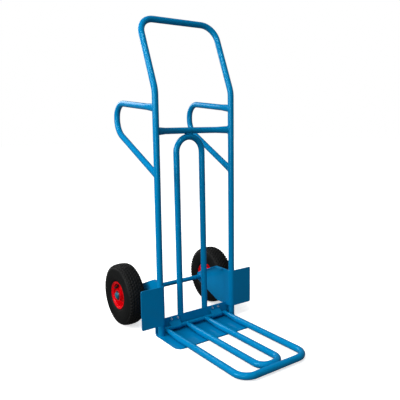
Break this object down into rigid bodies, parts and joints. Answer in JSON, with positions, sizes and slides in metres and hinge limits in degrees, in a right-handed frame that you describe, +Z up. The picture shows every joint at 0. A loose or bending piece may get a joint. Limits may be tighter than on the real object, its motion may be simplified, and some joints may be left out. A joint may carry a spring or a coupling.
{
  "type": "hand truck",
  "caption": "Steel tube hand truck with pneumatic wheels, side handles, wheel guard plates and a fold-up tube blade over its toe plate.",
  "frame": {"origin": "on the floor under the toe plate, midway between the rails and in the plane of their centre-lines", "axes": "+X to the right seen from the load side, +Y back to the wheels and handles, +Z up along the rails"},
  "size_m": [0.546, 0.8296, 1.254],
  "materials": {
    "blue_paint": "glossy blue powder coat",
    "red_paint": "glossy red paint",
    "zinc_steel": "bright zinc plating",
    "tyre_rubber": "matt black rubber",
    "tube_rubber": "smooth black rubber",
    "cap_plastic": "blue-green push-on cap"
  },
  "bodies": {
    "frame": {"axle": "blue_paint", "centre_loop": "blue_paint", "crossbar": "blue_paint", "left_axle_bracket": "blue_paint", "left_axle_cap": "cap_plastic", "left_axle_spacer": "blue_paint", "left_end_washer": "zinc_steel", "left_hinge_strap": "blue_paint", "left_hub_sleeve": "zinc_steel", "left_side_handle": "blue_paint", "main_frame_tube": "blue_paint", "right_axle_bracket": "blue_paint", "right_axle_cap": "cap_plastic", "right_axle_spacer": "blue_paint", "right_end_washer": "zinc_steel", "right_hinge_strap": "blue_paint", "right_hub_sleeve": "zinc_steel", "right_side_handle": "blue_paint", "strap_nuts": "zinc_steel", "strap_screws": "zinc_steel", "strap_washers": "zinc_steel", "toe_plate": "blue_paint"},
    "blade": {"blade_outer_loop": "blue_paint", "blade_inner_loop": "blue_paint", "blade_rod": "blue_paint"},
    "left_wheel": {"left_tyre": "tyre_rubber", "left_inner_tube": "tube_rubber", "left_rim_outboard_half": "red_paint", "left_rim_inboard_half": "red_paint", "left_hub_tube": "red_paint", "left_outboard_bearing": "zinc_steel", "left_inboard_bearing": "zinc_steel", "left_valve_stem": "tube_rubber", "left_valve_cap": "tube_rubber"},
    "right_wheel": {"right_tyre": "tyre_rubber", "right_inner_tube": "tube_rubber", "right_rim_outboard_half": "red_paint", "right_rim_inboard_half": "red_paint", "right_hub_tube": "red_paint", "right_outboard_bearing": "zinc_steel", "right_inboard_bearing": "zinc_steel", "right_valve_stem": "tube_rubber", "right_valve_cap": "tube_rubber"}
  },
  "joints": [
    {"name": "blade_fold", "type": "hinge", "parent": "frame", "child": "blade", "pos_m": [0, 0.013, 0.0215], "axis": [-1, 0, 0], "range_deg": [0, 90]},
    {"name": "left_wheel_spin", "type": "hinge", "parent": "frame", "child": "left_wheel", "pos_m": [-0.2284, 0.2157, 0.13], "axis": [1, 0, 0], "continuous": true},
    {"name": "right_wheel_spin", "type": "hinge", "parent": "frame", "child": "right_wheel", "pos_m": [0.2284, 0.2157, 0.13], "axis": [1, 0, 0], "continuous": true}
  ]
}
